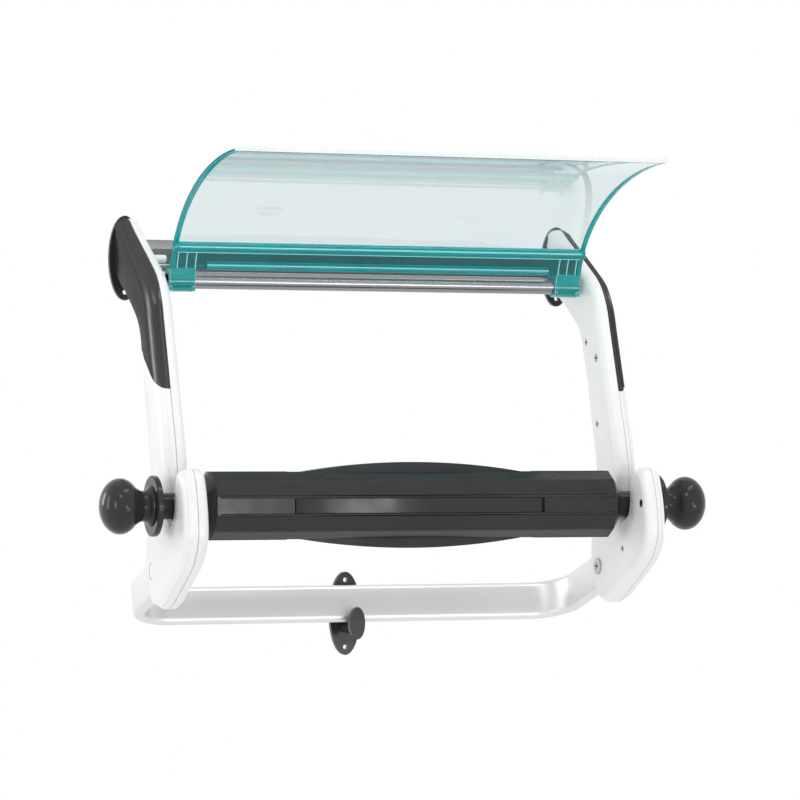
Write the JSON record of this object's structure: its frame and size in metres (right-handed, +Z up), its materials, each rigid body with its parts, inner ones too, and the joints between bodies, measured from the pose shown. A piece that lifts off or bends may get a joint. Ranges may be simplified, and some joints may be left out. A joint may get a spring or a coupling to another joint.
{
  "type": "wall-mounted wiper roll holder",
  "caption": "Wall-mounted holder for a wide wiper roll: hooked side arms, a lift-out sprung spindle, a flip-up curved shield with a toothed edge, and a U-shaped support bar.",
  "frame": {"origin": "on the wall, midway between the screw holes of the two upper wall brackets", "axes": "+X right along the spindle as seen from the room, +Y into the wall, +Z up"},
  "size_m": [0.641, 0.3436, 0.5066],
  "materials": {
    "white_plastic": "satin, fine grain",
    "black_plastic": "semi-gloss",
    "teal_plastic": "clear, tinted",
    "pale_plastic": "frosted",
    "bar_metal": "satin",
    "tube_metal": "bright",
    "rod_metal": "drawn",
    "grey_metal": "satin",
    "screw_steel": "plain"
  },
  "bodies": {
    "base": {"left_arm_inner": "white_plastic", "right_arm_inner": "white_plastic", "left_arm_outer": "white_plastic", "right_arm_outer": "white_plastic", "pivot_caps": "white_plastic", "left_arm_cover": "black_plastic", "right_arm_cover": "black_plastic", "left_wall_bracket": "black_plastic", "right_wall_bracket": "black_plastic", "wall_hook": "black_plastic", "shell_screws": "screw_steel", "cover_screws": "screw_steel", "pivot_screws": "screw_steel", "cross_bar": "grey_metal", "hinge_rod": "rod_metal"},
    "shield": {"shield_sheet": "teal_plastic", "shield_tube": "tube_metal", "left_hinge_clip": "teal_plastic", "right_hinge_clip": "teal_plastic", "tear_strip": "pale_plastic"},
    "spindle": {"spindle_shaft": "black_plastic", "left_flange": "black_plastic", "right_flange": "black_plastic", "left_knob": "black_plastic", "right_knob": "black_plastic"},
    "roller": {"roller_core": "black_plastic", "left_roller_cap": "black_plastic", "right_roller_cap": "black_plastic", "leaf_top": "black_plastic", "leaf_bottom": "black_plastic", "leaf_front": "black_plastic", "leaf_back": "black_plastic"},
    "bar": {"support_bar": "bar_metal"}
  },
  "joints": [
    {"name": "shield_flip", "type": "hinge", "parent": "base", "child": "shield", "pos_m": [0, -0.095, -0.012], "axis": [1, 0, 0], "range_deg": [0, 65]},
    {"name": "spindle_lift", "type": "slide", "parent": "base", "child": "spindle", "axis": [0, 0, 1], "range_m": [0, 0.055]},
    {"name": "roller_spin", "type": "hinge", "parent": "spindle", "child": "roller", "pos_m": [0, -0.218, -0.254], "axis": [1, 0, 0], "continuous": true},
    {"name": "bar_swing", "type": "hinge", "parent": "base", "child": "bar", "pos_m": [0, -0.151, -0.32], "axis": [1, 0, 0], "range_deg": [0, 15]}
  ]
}
